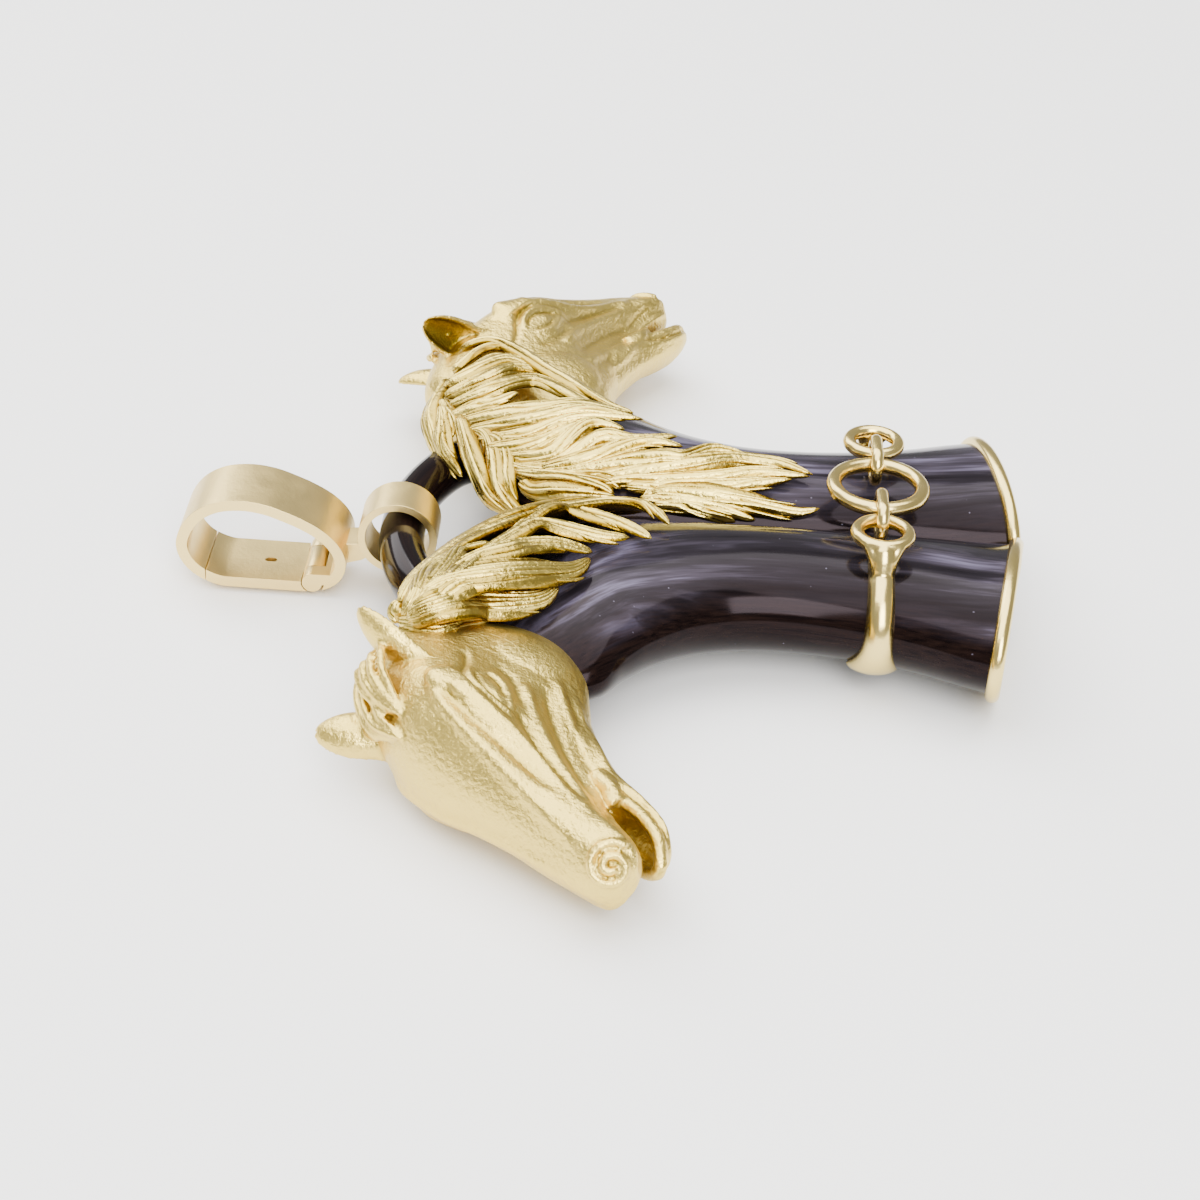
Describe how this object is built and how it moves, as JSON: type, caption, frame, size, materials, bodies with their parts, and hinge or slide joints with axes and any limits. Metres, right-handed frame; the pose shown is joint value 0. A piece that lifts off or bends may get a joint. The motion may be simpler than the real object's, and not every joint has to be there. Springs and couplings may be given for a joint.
{
  "type": "horse head pendant",
  "caption": "Pendant of horse heads back to back in cast gold on polished dark stone necks, with flowing manes, a snaffle across the necks and a hinged bail on a stone arch.",
  "frame": {"origin": "middle of the pendant's footprint, on the surface that it lies on", "axes": "+X across the pendant, from the head on the wearer's right to the other; +Y towards the bail, the top when worn; +Z out of the front"},
  "size_m": [0.072, 0.0562, 0.0114],
  "materials": {
    "hawks_eye_stone": "polished",
    "cast_gold": "satin, as cast",
    "cast_gold_mane": "engraved, bright",
    "polished_gold": "polished"
  },
  "bodies": {
    "pendant": {"neck_left": "hawks_eye_stone", "neck_right": "hawks_eye_stone", "stone_arch": "hawks_eye_stone", "rim_left": "polished_gold", "rim_right": "polished_gold", "strap_left": "polished_gold", "strap_right": "polished_gold", "centre_ring": "polished_gold", "link_left": "polished_gold", "link_right": "polished_gold", "head_left": "cast_gold", "head_right": "cast_gold", "mane_left": "cast_gold_mane", "mane_right": "cast_gold_mane"},
    "bail": {"bail": "polished_gold"},
    "gate": {"bail_gate": "polished_gold"}
  },
  "joints": [
    {"name": "bail_swing", "type": "hinge", "parent": "pendant", "child": "bail", "pos_m": [0, 0.01345, 0.00443], "axis": [1, 0, 0], "range_deg": [-75, 100]},
    {"name": "gate_turn", "type": "hinge", "parent": "bail", "child": "gate", "pos_m": [0, 0.01905, 0.00113], "axis": [-1, 0, 0], "range_deg": [0, 60]}
  ]
}
